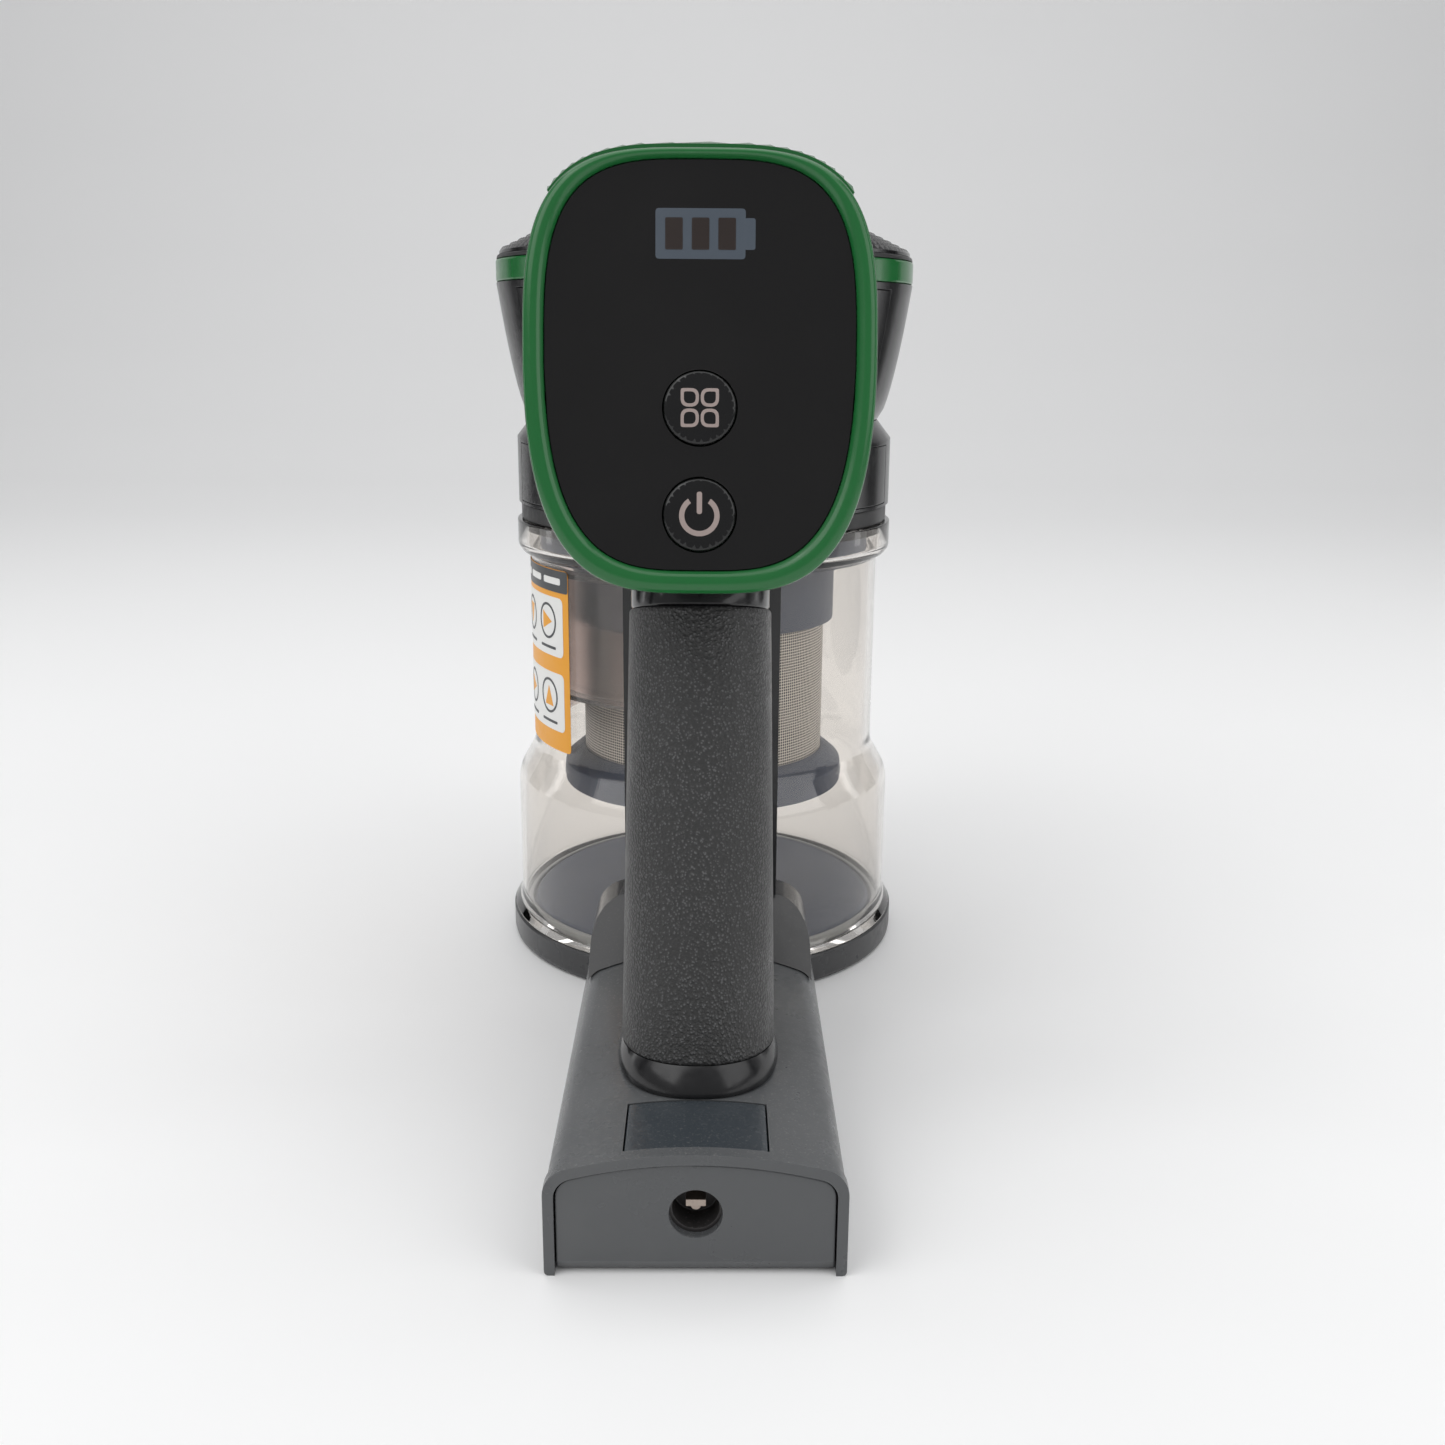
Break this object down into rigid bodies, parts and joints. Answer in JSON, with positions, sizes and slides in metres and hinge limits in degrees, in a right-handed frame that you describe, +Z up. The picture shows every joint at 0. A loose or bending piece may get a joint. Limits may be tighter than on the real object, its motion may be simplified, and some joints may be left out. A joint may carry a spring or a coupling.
{
  "type": "handheld vacuum",
  "caption": "Cordless cyclone vacuum with a clear dust cup on a hinged lid, flared motor head, rear display, textured grip and slide-on battery pack.",
  "frame": {"origin": "on the dust cup's axis, in the plane that the cup's lid and the battery pack stand on", "axes": "+Z up along the cup's axis, +Y towards the inlet, +X to the right seen from behind the grip"},
  "size_m": [0.1374, 0.3114, 0.252],
  "materials": {
    "housing_gloss": "gloss",
    "cover_gloss": "gloss",
    "ring_black": "satin",
    "green_gloss": "gloss",
    "cap_gloss": "gloss",
    "filter_felt": "matte",
    "filter_paper": "matte",
    "motor_steel": "satin",
    "motor_rubber": "matte",
    "board": "satin",
    "inner_plastic": "satin",
    "impeller_alloy": "satin",
    "pod_gloss": "gloss",
    "display_black": "gloss",
    "switch_metal": "satin",
    "grip_rubber": "textured",
    "grip_gloss": "gloss",
    "pack_satin": "satin",
    "contact_gold": "polished",
    "wire_red": "satin",
    "button_black": "gloss",
    "cup_clear": "clear",
    "label_film": "satin",
    "inlet_black": "satin",
    "guide_smoke": "satin",
    "lid_grey": "gloss",
    "blue_grey": "satin",
    "seal_pale": "matte",
    "mesh_steel": "woven",
    "jack_black": "satin",
    "cell_wrap": "satin",
    "release_gloss": "gloss"
  },
  "bodies": {
    "main_unit": {"filter_housing": "housing_gloss", "housing_ring": "ring_black", "housing_rear_cover": "cover_gloss", "motor_housing": "housing_gloss", "motor_rear_cover": "cover_gloss", "accent_band": "green_gloss", "cap_seat": "ring_black", "exhaust_filter": "filter_felt", "motor_can": "motor_steel", "motor_mount": "motor_rubber", "motor_board": "board", "diffuser": "inner_plastic", "shaft_bearings": "motor_steel", "pod_left": "pod_gloss", "pod_right": "pod_gloss", "top_cover": "green_gloss", "display_bezel": "green_gloss", "display_lens": "display_black", "display_board": "board", "tact_switches": "switch_metal", "grip_left": "inner_plastic", "grip_right": "inner_plastic", "grip_sleeve": "grip_rubber", "grip_neck": "grip_gloss", "grip_collar": "grip_gloss", "spine_cover": "grip_gloss", "battery_dock": "pack_satin", "dock_contacts": "contact_gold", "wire_harness": "wire_red", "handle_screws": "switch_metal"},
    "rotor_set": {"rotor": "motor_steel", "impeller": "impeller_alloy"},
    "cap": {"top_cap": "cap_gloss"},
    "power_key": {"power_button": "button_black"},
    "mode_key": {"mode_button": "button_black"},
    "release_key": {"cup_release": "green_gloss"},
    "dust_cup": {"cup_shell": "cup_clear", "cup_seal": "motor_rubber", "cup_label": "label_film", "inlet_tube": "inlet_black", "inlet_guide": "guide_smoke", "inlet_contacts": "contact_gold", "hinge_bracket": "inlet_black", "latch_bracket": "inlet_black"},
    "lid": {"cup_lid": "lid_grey", "lid_disc": "blue_grey", "lid_seal": "seal_pale"},
    "latch": {"lid_latch": "inlet_black"},
    "filter_set": {"filter_collar": "blue_grey", "mesh_screen": "mesh_steel", "filter_skirt": "blue_grey", "hepa_filter": "filter_paper"},
    "battery": {"battery_shell": "pack_satin", "battery_end_cap": "pack_satin", "dc_jack": "jack_black", "dc_contacts": "contact_gold", "battery_cells": "cell_wrap", "battery_board": "board"},
    "battery_key": {"battery_release": "release_gloss"}
  },
  "joints": [
    {"name": "rotor_spin", "type": "hinge", "parent": "main_unit", "child": "rotor_set", "pos_m": [0, 0, 0.2], "axis": [0, 0, 1], "continuous": true},
    {"name": "cap_twist", "type": "hinge", "parent": "main_unit", "child": "cap", "pos_m": [0, 0, 0.234], "axis": [0, 0, 1], "range_deg": [0, 25]},
    {"name": "power_press", "type": "slide", "parent": "main_unit", "child": "power_key", "axis": [0, 0.9903, -0.1392], "range_m": [0, 0.001], "stiffness_N_per_m": 600, "springref_m": -0.0005},
    {"name": "mode_press", "type": "slide", "parent": "main_unit", "child": "mode_key", "axis": [0, 0.9903, -0.1392], "range_m": [0, 0.001], "stiffness_N_per_m": 600, "springref_m": -0.0005},
    {"name": "cup_release_press", "type": "slide", "parent": "main_unit", "child": "release_key", "axis": [0, -1, 0], "range_m": [0, 0.0025], "stiffness_N_per_m": 500, "springref_m": -0.001},
    {"name": "cup_slide", "type": "slide", "parent": "main_unit", "child": "dust_cup", "axis": [0, 0, -1], "range_m": [0, 0.1]},
    {"name": "lid_hinge", "type": "hinge", "parent": "dust_cup", "child": "lid", "pos_m": [0, -0.0663, 0.005], "axis": [-1, 0, 0], "range_deg": [0, 90]},
    {"name": "latch_pivot", "type": "hinge", "parent": "dust_cup", "child": "latch", "pos_m": [0, 0.0715, 0.024], "axis": [1, 0, 0], "range_deg": [0, 12], "stiffness_Nm_per_rad": 0.3, "springref_deg": -5.73},
    {"name": "filter_twist", "type": "hinge", "parent": "main_unit", "child": "filter_set", "pos_m": [0, 0, 0.14], "axis": [0, 0, 1], "range_deg": [0, 25]},
    {"name": "battery_slide", "type": "slide", "parent": "main_unit", "child": "battery", "axis": [0, -1, 0], "range_m": [0, 0.14]},
    {"name": "battery_release_press", "type": "slide", "parent": "battery", "child": "battery_key", "axis": [0, 0, -1], "range_m": [0, 0.0015], "stiffness_N_per_m": 800, "springref_m": -0.0006}
  ]
}
